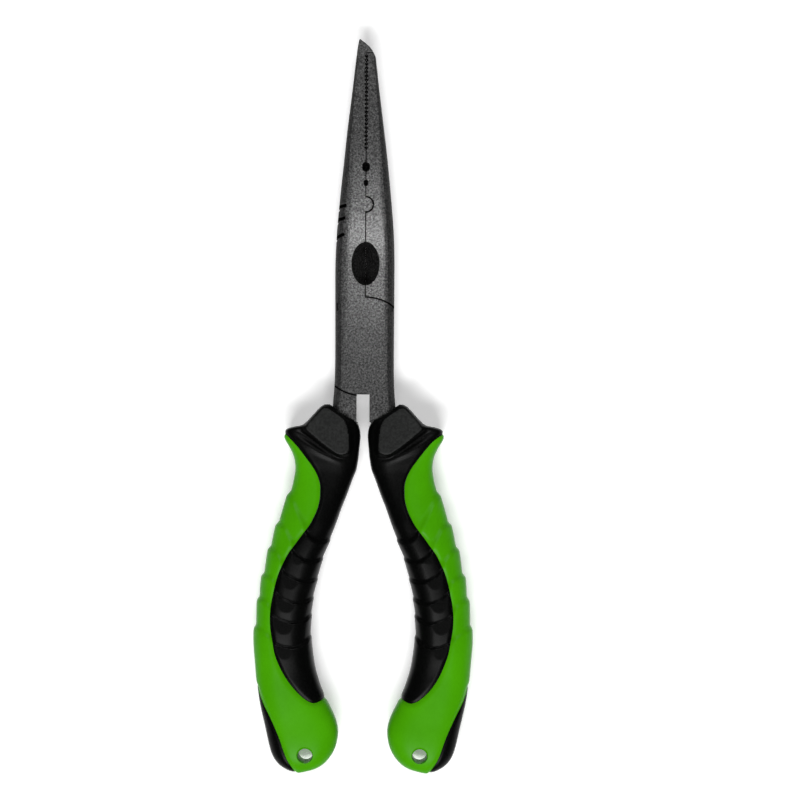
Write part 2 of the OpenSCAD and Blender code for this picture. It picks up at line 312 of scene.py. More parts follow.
def jaw_face(d, g):
    """The jaw's working edge from the lap up to the hook: d is -1 for the left jaw, 1 for the right."""
    x = SX + d * g
    pts = [(x, math.sqrt(LAP_R ** 2 - x * x))]
    if g > 0.05:
        # the cutting edges nearly touch along most of the oval
        e = SX + d * 0.006
        pts += [(x, 18.7), (e, 18.75), (e, 28.3), (x, 28.4)]
    else:
        e = SX + d * 0.001
        pts += [(x, 18.7), (e, 18.75), (e, 28.3), (x, 28.4)]
    r = CRIMP_R if d < 0 else CRIMP_R + CRIMP_GAP
    if g < 0.05:
        r = CRIMP_R if d < 0 else CRIMP_R + 0.03
    h = math.degrees(math.asin(abs(x - SX) / r))
    if d < 0:
        pts += arc(SX, CRIMP_Y, r, -90 - h, 90 + h, 24)
    else:
        pts += arc(SX, CRIMP_Y, r, -90 + h, 90 - h, 24)
    return pts


def face_cutters(d):
    """What is cleared away beside one jaw face: all but a hair at mid thickness, the relief above and below."""
    obs = []
    for g, z0, z1 in ((LAND, -1, 20), (G, -1, MID - 1.6), (G, MID + 1.6, 20)):
        pts = jaw_face(d, g)
        x = pts[0][0]
        a1 = math.degrees(math.acos(x / LAP_R))
        if d < 0:
            a0 = math.degrees(math.asin(4.0 / LAP_R))
            poly = pts + [(x, HOOK + g), (20, HOOK + g), (20, 4.0)] + arc(0, 0, LAP_R, a0, a1, 40)[:-1]
        else:
            poly = pts + [(x, HOOK - g), (20, HOOK - g), (20, 100), (-30, 100), (-30, 4.0)] \
                + arc(0, 0, LAP_R, 180 - math.degrees(math.asin(4.0 / LAP_R)), a1, 60)[:-1]
        obs.append(prism("face", poly, z0, z1))
    return obs


def tooth_cutter():
    """Serrations of both jaws, slanted through the thickness."""
    k = 0.26
    left, right = [], []
    for i in range(TEETH):
        y = TOOTH_TOP - i * PITCH
        y -= k * float(cv(HEAD_H, y))
        w = PITCH * 0.41
        left += [(SX - 0.008, y + w), (SX - DEPTH * 0.7, y + w * 0.6), (SX - DEPTH, y), (SX - DEPTH * 0.7, y - w * 0.6), (SX - 0.008, y - w)]
        right += [(SX + 0.008, y + w), (SX + DEPTH * 0.7, y + w * 0.6), (SX + DEPTH, y), (SX + DEPTH * 0.7, y - w * 0.6), (SX + 0.008, y - w)]
    poly = np.array(left + right[::-1])
    rings = []
    for z in (-6.0, 6.0):
        rings.append([(x, y + k * z, MID + z) for x, y in poly])
    return loft("teeth", rings)


def head_env(name):
    ys = [92.1, 92.0, 91.8, 91.55, 91.3, 91, 90.6, 90.2, 89.7, 89.2, 88.7, 88.2, 87.7, 87.2, 86.6, 86]
    ys += list(np.arange(85, 26, -1.5)) + list(np.arange(25.5, -22, -2.5)) + [SHOULDER]
    return loft(name, [head_ring(y) for y in ys])


def oval_cutters():
    """Hollow that slopes down to the cutting edges, from both faces."""
    obs = []
    cy, w, l = 24.65, 4.3, 6.5
    for s in (-1, 1):
        rings = []
        for a, b, z in ((0.01, l * 0.80, -0.1), (0.45, l * 0.84, 0.45), (w * 0.55, l * 0.91, HH * 0.55),
                        (w, l, HH), (w * 1.2, l * 1.05, HH + 1)):
            rings.append([(SX + a * math.cos(t), cy + b * math.sin(t), MID + s * (z + 0.12))
                          for t in np.linspace(0, 2 * math.pi, 72, endpoint=False)])
        obs.append(loft("oval", rings))
    return obs


def slot_cutters():
    obs = []
    for cy, r, e in ((53.6, 1.15, 0.35), (48.75, 0.7, 0.3)):
        p = arc(SX, cy + e, r, 0, 180, 16) + arc(SX, cy - e, r, 180, 360, 16)
        obs.append(prism("slot", p, MID + 0.45, MID + 8))
        obs.append(prism("slot", p, MID - 8, MID - 0.45))
    return obs


def stick(name, p0, p1, r, n=20):
    """Round bar between two points, as a cutter."""
    p0, p1 = np.array(p0, float), np.array(p1, float)
    d = (p1 - p0) / np.linalg.norm(p1 - p0)
    u = np.cross(d, [0, 0, 1.0])
    u /= np.linalg.norm(u)
    w = np.cross(d, u)
    ring = lambda c: [tuple(c + r * (math.cos(t) * u + math.sin(t) * w))
                      for t in np.linspace(0, 2 * math.pi, n, endpoint=False)]
    return loft(name, [ring(p0), ring(p1)])


NOTCHES = (((-7.7, 41.7), (-5.6, 42.1)), ((-8.1, 37.75), (-5.95, 38.35)), ((-8.4, 32.6), (-6.2, 33.45)))


def notch_cutters():
    """Short grooves across the edge of the left jaw, top and bottom, each with a nick in the outline."""
    obs = []
    for (xa, ya), (xb, yb) in NOTCHES:
        a, b = np.array([xa, ya]), np.array([xb, yb])
        t = (b - a) / np.linalg.norm(b - a)
        n = np.array([-t[1], t[0]])
        q = [tuple(a - 2.2 * t - 0.5 * n), tuple(b - 0.5 * n), tuple(b + 0.15 * t), tuple(b + 0.5 * n), tuple(a - 2.2 * t + 0.5 * n)]
        obs.append(prism("notch", q, MID + 1.2, MID + 9))
        obs.append(prism("notch", q, MID - 9, MID - 1.2))
        obs.append(prism("nick", arc(xa - 0.45, ya - 0.9, 0.5, 0, 360, 20)[:-1], -1, GRIP_T + 1))
    return obs


# hidden bars of the tangs
TANG_X = [[-20, 5.9], [-25, 6.6], [-30, 7.9], [-40, 11.2], [-50, 15], [-60, 18.7],
          [-70, 21.4], [-80, 22.8], [-90, 22.8], [-100, 21.8]]


def tang_bar(side):
    rings = []
    for y in list(np.arange(-21, -98, -3.0)) + [-98]:
        x = float(cv(TANG_X, y))
        rings.append([(side * (x + 3.3 * np.sign(math.cos(t)) * abs(math.cos(t)) ** 0.45), y,
                       MID + 4.0 * np.sign(math.sin(t)) * abs(math.sin(t)) ** 0.45)
                      for t in np.linspace(0.1, 2 * math.pi + 0.1, 20, endpoint=False)])
    return loft("bar", rings)


def countersink(c):
    r, R, d = 3.5 + c, 5.7 + c, 1.8
    return lathe("sink", 0, 0, [(0, MID - HH - 1), (R, MID - HH - 1), (R, MID - HH + 0.15), (r, MID - HH + d),
                                (r, MID + HH - d), (R, MID + HH - 0.15), (R, MID + HH + 1), (0, MID + HH + 1)], 72)


def front_lever():
    ob = head_env("front_jaw_lever_visual")
    for c in face_cutters(-1):
        boolean(ob, c)
    boolean(ob, tooth_cutter())
    boolean(ob, prism("v2", arc(0, 0, LAP_R, 180 + 15, 270 - math.degrees(math.asin(IN_L / LAP_R)), 30)
                      + [(-IN_L, -40), (-30, -40), (-30, LAP_R * math.sin(math.radians(195)))], -1, 20))
    boolean(ob, prism("v3", [(-IN_L - 0.6, -14.3), (IN_R, -14.3), (IN_R, -40), (-IN_L - 0.6, -40)], -1, 20))
    boolean(ob, lathe("v4", 0, 0, [(0, -2), (LAP_R + LAP_C, -2), (LAP_R + LAP_C, MID + 0.05), (0, MID + 0.05)], 120))
    for c in oval_cutters() + slot_cutters() + notch_cutters() + [countersink(0.05)]:
        boolean(ob, c)
    boolean(ob, tang_bar(1), "UNION")
    return tidy(ob, 24)


def rear_lever():
    ob = head_env("rear_jaw_lever_visual")
    for c in face_cutters(1):
        boolean(ob, c)
    boolean(ob, tooth_cutter())
    boolean(ob, prism("v2", [(30, LAP_R * math.sin(math.radians(-15))), (30, -40), (IN_R, -40)]
                      + arc(0, 0, LAP_R, -90 + math.degrees(math.asin(IN_R / LAP_R)), -15, 30), -1, 20))
    boolean(ob, prism("v3", [(-IN_L, -14.3), (IN_R + 0.6, -14.3), (IN_R + 0.6, -40), (-IN_L, -40)], -1, 20))
    boolean(ob, lathe("v4", 0, 0, [(0, MID - 0.05), (LAP_R + LAP_C, MID - 0.05), (LAP_R + LAP_C, 22), (0, 22)], 120))
    for c in oval_cutters() + slot_cutters() + [countersink(0.012)]:
        boolean(ob, c)
    boolean(ob, tang_bar(-1), "UNION")
    return tidy(ob, 24)


def rivet():
    e = 0.09
    ob = lathe("pivot_rivet_visual", 0, 0, [
        (0, MID - HH + 0.015), (5.7 - e, MID - HH + 0.015), (5.7, MID - HH + 0.08), (5.68, MID - HH + 0.16), (3.5, MID - HH + 1.8),
        (3.5, MID + HH - 1.8), (5.68, MID + HH - 0.16), (5.7, MID + HH - 0.08), (5.7 - e, MID + HH - 0.015), (0, MID + HH - 0.015)], 96)
    return tidy(ob, 24)


# ---------------------------------------------------------------- grips
GRIP_OUT = [[-17.3, 11.9], [-18.2, 13.2], [-20.6, 15.4], [-23, 17.8], [-23.7, 19.2],
            [-24.1, 21.4], [-24.7, 23.1], [-25.6, 23.8], [-26.8, 24], [-28, 23.6],
            [-30, 22.4], [-32, 21.4], [-34, 20.8], [-36.4, 20.6], [-39, 21],
            [-43, 22.2], [-48, 24.1], [-54, 26.3], [-60, 28.2], [-66, 29.7],
            [-72, 31], [-78, 31.9], [-84, 32.5], [-90, 32.7], [-96, 32.3],
            [-102, 31.7], [-108, 30.6], [-114, 29.2], [-119, 28.1], [-122, 27.2],
            [-124, 26.1], [-125.6, 24.6], [-126.8, 22.6], [-127.4, 20.9], [-127.6, 20]]
GRIP_IN = [[-17.3, 10.4], [-19, 7.9], [-21, 4.6], [-22, 2.7], [-23, 2],
           [-24.4, 1.4], [-26.6, 1.1], [-28.6, 1.2], [-30.6, 1.4], [-33, 1.6],
           [-35, 1.9], [-37, 2.3], [-39, 3.1], [-42, 4.2], [-45, 5.3], [-48, 6.5],
           [-52, 7.9], [-56, 9.3], [-60, 10.8], [-64, 12.3], [-68, 13.3],
           [-72, 14.3], [-76, 15], [-80, 15.4], [-84, 15.6], [-88, 15.5],
           [-92, 15], [-96, 14.3], [-99, 13.5], [-102, 12.5], [-105, 11.2],
           [-108, 9.7], [-110.5, 8.5], [-112.5, 7.8], [-114.5, 7.4], [-116.5, 7.4],
           [-118.5, 7.7], [-120.5, 8.3], [-122.4, 9.3], [-124, 10.5], [-125.4, 12],
           [-126.6, 14.2], [-127.4, 17.2], [-127.6, 18.6]]
GRIP_H = [[-17.3, 5.7], [-18, 6.3], [-20, 6.6], [-26, 6.6], [-31, 6.6], [-34, 6.4],
          [-38, 6.0], [-44, 5.95], [-50, 6.35], [-56, 6.9], [-62, 7.3],
          [-70, 7.5], [-80, 7.6], [-88, 7.5], [-96, 7.1], [-104, 6.6],
          [-112, 6.2], [-118, 5.95], [-122, 5.5], [-124.4, 4.9], [-126.2, 4.0], [-127.2, 3.0], [-127.6, 2.3]]
GRIP_P = [[-17.3, 4.2], [-22, 5.0], [-28, 4.2], [-33, 3.2], [-38, 2.7], [-60, 2.5],
          [-90, 2.5], [-110, 2.6], [-127.6, 2.4]]


# where the soft grip meets the hard shell, guard to heel
SOFT = [(25.2, -25.1), (23.8, -25.9), (21.3, -28.2), (19.1, -30.7), (17, -33.4), (15.1, -36),
        (13.8, -38.4), (13, -41), (12.9, -43.5), (13.1, -46), (13.8, -48.7), (14.9, -51.2),
        (16.1, -53.4), (17.9, -55.8), (20.1, -58.8), (22.2, -61.7), (23.8, -64.7),
        (25.1, -67.7), (26, -70.7), (26.8, -74.3), (27.4, -77.7), (27.6, -81.2),
        (27.4, -84.6), (26.8, -88), (26, -92), (24.3, -96.1), (22.3, -99.5),
        (20.1, -102.3), (17.9, -104.5), (15.9, -105.9), (14.3, -106.3), (12.9, -105.9),
        (11.7, -105.2), (10.6, -104.6), (9.4, -104.2)]
HEEL = [(33.4, -100.2), (32.0, -101.2), (31.4, -102), (30.9, -103.8), (29.6, -106.9), (27.9, -110.2),
        (26.2, -113.8), (24.8, -117.1), (23.6, -120.6), (22.4, -123.6), (20.4, -126.9), (19.4, -129.5)]
HEEL_C = catmull(HEEL, 6)


def seam(side):
    """The seam as it runs on one handle; the right one lies a little further in."""
    c = catmull(SOFT, 8)
    if side > 0:
        c[:, 0] -= 0.75 * smooth((c[:, 1] + 104) / 12) * smooth((-25.5 - c[:, 1]) / 3)
    return c




def offset_curve(c, d):
    t = np.gradient(c, axis=0)
    t /= np.linalg.norm(t, axis=1)[:, None]
    return c + d * np.stack([-t[:, 1], t[:, 0]], 1)


def soft_region(c, gap):
    """Plan of the palm side, pulled in by gap."""
    c = offset_curve(c, -gap)
    return [(-8, -10), (40, -10), (40, c[0][1])] + [tuple(p) for p in c] + [(-8, c[-1][1])]


def heel_region(gap):
    c = offset_curve(HEEL_C, gap)
    return [tuple(p) for p in c] + [(45, c[-1][1]), (45, c[0][1])]


# step lines across the green shell: boundary side to outer side
SCALES = [
    [(17.0, -53.6), (18.5, -50.9), (19.7, -48.5), (20.7, -46.4), (22.1, -44.2), (24.5, -40.5)],
    [(20.4, -58.9), (21.0, -57.9), (22.1, -56.2), (23.1, -54.4), (24.3, -53.4), (26.2, -52.6), (30, -51.6)],
    [(23.4, -64.6), (24.7, -62.9), (25.8, -61.4), (27.2, -60.5), (28.5, -60.0), (32, -59.2)],
    [(25.3, -71.4), (26.4, -69.9), (27.6, -68.9), (29.2, -68.3), (30.8, -68.0), (34, -67.6)],
    [(26.6, -78.8), (27.5, -77.6), (28.4, -76.6), (30.0, -75.5), (31.5, -75.2), (35, -74.9)],
    [(26.6, -87.2), (27.5, -86.5), (28.6, -85.7), (30.9, -84.2), (32.7, -83.6), (36, -83.2)],
]
# crest lines across the palm: y at the inner edge ... at the seam
RIBS_V = [0.0, 0.12, 0.3, 0.5, 0.75, 1.0]
RIBS = [
    [-58.2, -58.6, -58.7, -58.2, -57.0, -55.2],
    [-63.8, -64.4, -64.7, -64.2, -62.8, -60.8],
    [-69.9, -70.4, -70.6, -70.2, -68.9, -66.4],
    [-75.6, -76.4, -77.0, -76.9, -75.8, -73.2],
    [-80.7, -81.9, -82.8, -82.9, -82.0, -80.1],
    [-87.0, -88.5, -89.8, -90.3, -90.0, -88.8],
]
PAD = catmull([(10.4, -18.7), (6.2, -21.7), (5.0, -24.2), (4.5, -27.5), (4.4, -30.0), (5.0, -31.7),
               (7.6, -32.0), (11.0, -29.8), (16.4, -25.3), (17.0, -24.2), (15.7, -22.2), (12.9, -19.2), (11.8, -18.5), (10.4, -18.7)], 5)[:-1]
RIDGE = catmull([(23.4, -26.0), (21.0, -27.1), (15.8, -29.9), (12.1, -31.9), (7.6, -33.6), (3.0, -34.9)], 6)
VALLEY = catmull([(21.5, -25.1), (18.9, -26.0), (14.6, -28.6), (11.2, -30.7), (7.6, -32.4), (3.0, -33.6)], 6)


NA = 168


def grip_stations():
    ys = [-17.3, -17.36, -17.45, -17.6, -17.8]
    ys += list(np.arange(-18.0, -27.0, -0.2))
    ys += list(np.arange(-27.0, -126.0, -0.26))
    ys += list(np.arange(-126.0, -127.3, -0.15)) + [-127.35, -127.45, -127.53, -127.58, -127.6]
    return np.array(ys)


def base_grip():
    ys = grip_stations()
    t = np.linspace(0, math.pi / 2, 240)
    X, Z = np.zeros((len(ys), NA)), np.zeros((len(ys), NA))
    half = NA // 2
    for k, y in enumerate(ys):
        xi, xo = float(cv(GRIP_IN, y)), float(cv(GRIP_OUT, y))
        h, p = float(cv(GRIP_H, y)), float(cv(GRIP_P, y))
        u, v = np.cos(t) ** (2 / p), np.sin(t) ** (2 / p)
        # quarter from the inner silhouette to the crown, then mirrored to the outer one
        qx = np.concatenate([-u, u[::-1][1:]])
        qz = np.concatenate([v, v[::-1][1:]])
        px, pz = (xi + xo) / 2 + (xo - xi) / 2 * qx, h * qz
        s = np.concatenate([[0], np.cumsum(np.hypot(np.diff(px), np.diff(pz)))])
        q = np.linspace(0, s[-1], half + 1)
        ax, az = np.interp(q, s, px), np.interp(q, s, pz)
        X[k, :half] = ax[:half]
        Z[k, :half] = az[:half]
        X[k, half:] = ax[::-1][:half]
        Z[k, half:] = -az[::-1][:half]
    Y = np.repeat(ys[:, None], NA, 1)
    return X, Y, Z


BX, BY, BZ = base_grip()


def grid_normals(X, Y, Z):
    P = np.stack([X, Y, Z], 2)
    dv = np.roll(P, -1, 1) - np.roll(P, 1, 1)
    du = np.gradient(P, axis=0)
    n = np.cross(dv, du)
    L = np.linalg.norm(n, axis=2)
    n /= np.maximum(L, 1e-9)[:, :, None]
    c = (BX - (BX.min(1) + BX.max(1))[:, None] / 2) * n[:, :, 0] + Z * n[:, :, 2]
    return n * np.sign(c.mean())


def soften(A, n=1):
    for _ in range(n):
        A = 0.5 * A + 0.125 * (np.roll(A, 1, 1) + np.roll(A, -1, 1)
                               + np.vstack([A[:1], A[:-1]]) + np.vstack([A[1:], A[-1:]]))
    return A


def steps(D, crest, foot, rise):
    """Saw-tooth relief: D[k] is how far past crest line k each point lies, towards the heel.
    The surface climbs to +crest just before each line and falls to -foot by the next rise."""
    n = len(D)
    out = np.zeros(D[0].shape)
    out += -foot * smooth(1 - (-D[0] - rise) / 5.0) * (D[0] < -rise)
    for k in range(n):
        r = (D[k] >= -rise) & (D[k] < 0)
        out = np.where(r, -foot + (crest + foot) * smooth((D[k] + rise) / rise), out)
        if k < n - 1:
            L = np.maximum(D[k] - D[k + 1] - rise, 0.5)
            r = (D[k] >= 0) & (D[k + 1] < -rise)
            f = np.clip(D[k] / L, 0, 1)
            out = np.where(r, crest - (crest + foot) * f, out)
        else:
            r = D[k] >= 0
            out = np.where(r, crest * (1 - smooth(D[k] / 9.0)), out)
    return out


def grid_solid(name, X, Y, Z):
    P = np.stack([X, Y, Z + MID], 2)
    return loft(name, P)


def soft_grip(side):
    soft_c = seam(side)
    X, Y, Z = BX.copy(), BY.copy(), BZ.copy()
    A = np.abs(Z)
    S = np.sign(Z)
    crown = smooth(A / (cv(GRIP_H, Y) * 0.75))
    # guard: flat textured pad, valley below it, and a ridge running to the horn
    dpad = dist_line(X, Y, np.vstack([PAD, PAD[:1]]))
    dpad = np.where(inside(X, Y, PAD), dpad, -dpad)
    ridge = np.exp(-(dist_line(X, Y, RIDGE) / 0.95) ** 2) * smooth((X - 4.5) / 7) * (1 - smooth((X - 15) / 6))
    valley = np.exp(-(dist_line(X, Y, VALLEY) / 1.05) ** 2) * smooth((X - 3.5) / 6) * (1 - smooth((X - 18) / 5))
    A = A + crown * (0.34 * ridge - 0.62 * valley)
    w = smooth((dpad + 1.5) / 1.75)
    A = A + (7.5 - A) * w * (A > 0.4)
    Z = S * A
    N = grid_normals(X, Y, Z)
    d = dist_line(X, Y, soft_c)
    D = -0.38 * (1 - np.clip(d / 1.3, 0, 1)) ** 2
    xi = BX.min(1)[:, None]
    xb = np.interp(-Y, -soft_c[:-40, 1], soft_c[:-40, 0])
    v = np.clip((X - xi) / np.maximum(xb - xi, 1), 0, 1.15)
    lines = [np.interp(v, RIBS_V, c) for c in RIBS]
    rel = steps([c - Y for c in lines], 0.34, 0.44, 0.85)
    rel = rel * (0.35 + 0.65 * smooth(np.abs(N[:, :, 2]) * 1.6))
    D = D + soften(rel, 1)
    P = np.stack([X, Y, Z], 2) + N * D[:, :, None]
    ob = grid_solid("right_soft_grip_visual", P[:, :, 0], P[:, :, 1], np.clip(P[:, :, 2], -MID, MID))
    boolean(ob, prism("r", soft_region(soft_c, 0.09), -2, 18), "INTERSECT")
    return tidy(ob, 40)


def hard_shell(side):
    soft_c = seam(side)
    X, Y, Z = BX.copy(), BY.copy(), BZ.copy()
    N = grid_normals(X, Y, Z)
    d = dist_line(X, Y, soft_c)
    dh = dist_line(X, Y, HEEL_C)
    D = -0.5 * (1 - np.clip(d / 1.6, 0, 1)) ** 2 - 0.35 * (1 - np.clip(dh / 1.2, 0, 1)) ** 2
    Ds = []
    for line in SCALES:
        c = catmull(line, 6)
        o = np.argsort(c[:, 0])
        yl = np.interp(X, c[o, 0], c[o, 1])
        slope = np.interp(X, c[o, 0], np.gradient(c[o, 1], c[o, 0]))
        Ds.append((yl - Y) / np.sqrt(1 + slope ** 2) - 1.1)
    rel = steps(Ds, 0.30, 0.36, 1.8)
    D = D + soften(rel, 3)
    P = np.stack([X, Y, Z], 2) + N * D[:, :, None]
    ob = grid_solid("right_hard_shell_visual", P[:, :, 0], P[:, :, 1], np.clip(P[:, :, 2], -MID, MID))
    boolean(ob, prism("r", soft_region(soft_c, -0.07), -2, 18))
    boolean(ob, prism("h", heel_region(-0.05), -2, 18))
    hz = 5.7
    boolean(ob, lathe("hole", HX, HY, [
        (0, MID - 9), (HR + 1.3, MID - 9), (HR + 0.75, MID - hz - 0.2), (HR + 0.25, MID - hz + 0.35), (HR, MID - hz + 0.8),
        (HR, MID + hz - 0.8), (HR + 0.25, MID + hz - 0.35), (HR + 0.75, MID + hz + 0.2), (HR + 1.3, MID + 9), (0, MID + 9)], 64))
    return tidy(ob, 40)


def heel_bumper():
    X, Y, Z = BX.copy(), BY.copy(), BZ.copy()
    N = grid_normals(X, Y, Z)
    dh = dist_line(X, Y, HEEL_C)
    D = -0.3 * (1 - np.clip(dh / 1.2, 0, 1)) ** 2
    P = np.stack([X, Y, Z], 2) + N * D[:, :, None]
    ob = grid_solid("right_heel_bumper_visual", P[:, :, 0], P[:, :, 1], P[:, :, 2])
    boolean(ob, prism("h", heel_region(0.06), -2, 18), "INTERSECT")
    return tidy(ob, 40)


# ---------------------------------------------------------------- materials
def material(name):
    m = bpy.data.materials.new(name)
    m.use_nodes = True
    nt = m.node_tree
    return m, nt, nt.nodes["Principled BSDF"]


def coords(nt):
    tc = nt.nodes.new("ShaderNodeTexCoord")
    mp = nt.nodes.new("ShaderNodeMapping")
    mp.inputs["Scale"].default_value = (1000, 1000, 1000)
    nt.links.new(tc.outputs["Object"], mp.inputs["Vector"])
    return mp.outputs["Vector"]


def noise(nt, vec, scale, detail=3.0, rough=0.55):
    n = nt.nodes.new("ShaderNodeTexNoise")
    n.inputs["Scale"].default_value = scale
    n.inputs["Detail"].default_value = detail
    n.inputs["Roughness"].default_value = rough
    nt.links.new(vec, n.inputs["Vector"])
    return n.outputs["Fac"]


def ramp(nt, fac, stops):
    r = nt.nodes.new("ShaderNodeValToRGB")
    e = r.color_ramp.elements
    while len(e) < len(stops):
        e.new(0.5)
    for i, (p, c) in enumerate(stops):
        e[i].position = p
        e[i].color = (c[0], c[1], c[2], 1) if hasattr(c, "__len__") else (c, c, c, 1)
    nt.links.new(fac, r.inputs["Fac"])
    return r.outputs["Color"]


def mapped(nt, fac, lo, hi, a=0.3, b=0.7):
    m = nt.nodes.new("ShaderNodeMapRange")
    m.inputs["From Min"].default_value = a
    m.inputs["From Max"].default_value = b
    m.inputs["To Min"].default_value = lo
    m.inputs["To Max"].default_value = hi
    nt.links.new(fac, m.inputs["Value"])
    return m.outputs["Result"]


def mix_mul(nt, a, b, fac=1.0):
    m = nt.nodes.new("ShaderNodeMix")
    m.data_type = "RGBA"
    m.blend_type = "MULTIPLY"
    m.inputs["Factor"].default_value = fac
    nt.links.new(a, m.inputs[6])
    nt.links.new(b, m.inputs[7])
    return m.outputs[2]


def bump(nt, bsdf, height, distance, strength=1.0, normal=None):
    b = nt.nodes.new("ShaderNodeBump")
    b.inputs["Distance"].default_value = distance
    b.inputs["Strength"].default_value = strength
    nt.links.new(height, b.inputs["Height"])
    if normal is not None:
        nt.links.new(normal, b.inputs["Normal"])
    nt.links.new(b.outputs["Normal"], bsdf.inputs["Normal"])
    return b.outputs["Normal"]


def steel(name, base=0.067, spec=0.32, rough=(0.16, 0.14), metal=0.25):
    m, nt, b = material(name)
    v = coords(nt)
    grain = noise(nt, v, 1.75, 2, 0.65)
    cloud = noise(nt, v, 0.14, 3, 0.5)
    speck = noise(nt, v, 2.9, 1, 0.5)
    c1 = ramp(nt, grain, [(0.36, base * 0.42), (0.5, base), (0.64, base * 1.75)])
    c2 = ramp(nt, cloud, [(0.3, 0.94), (0.7, 1.05)])
    c3 = ramp(nt, speck, [(0.0, 0.9), (0.56, 1.0), (0.70, 1.6)])
    nt.links.new(mix_mul(nt, mix_mul(nt, c1, c2), c3), b.inputs["Base Color"])
    b.inputs["Metallic"].default_value = metal
    b.inputs["Specular IOR Level"].default_value = spec
    nt.links.new(mapped(nt, grain, *rough), b.inputs["Roughness"])
    n1 = bump(nt, b, grain, 0.00004, 0.5)
    bump(nt, b, speck, 0.00002, 0.4, n1)
    return m


def green_plastic(name):
    m, nt, b = material(name)
    v = coords(nt)
    cloud = noise(nt, v, 0.09, 3, 0.5)
    fine = noise(nt, v, 1.3, 3, 0.5)
    c1 = ramp(nt, cloud, [(0.3, (0.049, 0.282, 0.0009)), (0.7, (0.057, 0.318, 0.0014))])
    c2 = ramp(nt, fine, [(0.3, 0.97), (0.7, 1.02)])
    nt.links.new(mix_mul(nt, c1, c2), b.inputs["Base Color"])
    nt.links.new(mapped(nt, fine, 0.28, 0.34), b.inputs["Roughness"])
    b.inputs["Specular IOR Level"].default_value = 0.05
    bump(nt, b, fine, 0.00001, 0.15)
    return m


def black_rubber(name, lift=1.0, rough=0.33, grain_d=0.00001, grain_s=2.4, spec=0.16):
    m, nt, b = material(name)
    v = coords(nt)
    grain = noise(nt, v, grain_s, 3, 0.6)
    cloud = noise(nt, v, 0.12, 3, 0.5)
    k = 0.0014 * lift
    c1 = ramp(nt, cloud, [(0.3, (k * 0.85, k * 0.92, k * 0.88)), (0.7, (k * 1.15, k * 1.22, k * 1.16))])
    c2 = ramp(nt, grain, [(0.35, 0.45), (0.65, 1.6)])
    nt.links.new(mix_mul(nt, c1, c2), b.inputs["Base Color"])
    nt.links.new(mapped(nt, grain, rough - 0.05, rough + 0.06), b.inputs["Roughness"])
    b.inputs["IOR"].default_value = 1.28
    b.inputs["Specular IOR Level"].default_value = spec
    bump(nt, b, grain, grain_d, 0.6)
    return m


def plain_liner(name):
    m, nt, b = material(name)
    v = coords(nt)
    f = noise(nt, v, 0.8, 3, 0.5)
    nt.links.new(ramp(nt, f, [(0.3, 0.018), (0.7, 0.03)]), b.inputs["Base Color"])
    nt.links.new(mapped(nt, f, 0.55, 0.68), b.inputs["Roughness"])
    return m


STEEL = steel("shot_blasted_steel")
STEEL_R = steel("rivet_steel", 0.066)
TIP = steel("tip_steel", 0.062, 0.08, (0.55, 0.6), 0.0)
# near-black painted shade for the hollow, slots, notches, lap line and mating walls, where shade falls
PAINTED_SHADE_RECESS = steel("recess_painted_shade", 0.010, 0.0, (0.80, 0.85), 0.0)
# painted shade: the outline chamfers are made darker than the flats because they face away from the light
PAINTED_SHADE_CHAMFER = steel("chamfer_painted_shade", 0.024, 0.05, (0.55, 0.65), 0.0)
GREEN = green_plastic("green_shell_plastic")
BLACK = black_rubber("soft_touch_black")
PADM = black_rubber("soft_touch_pad", 6.2, 0.5, 0.00006, 1.7, 0.4)
LINER = plain_liner("liner_plastic")

# ---------------------------------------------------------------- pieces
SLOTS = {"front_jaw_lever": "head_steel", "rear_jaw_lever": "head_steel", "pivot_rivet": "rivet_steel"}


def finish_piece(ob, body, node, slot, *mats):
    for m in mats:
        ob.data.materials.append(m)
    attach(ob, body)
    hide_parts(node)
    return ob




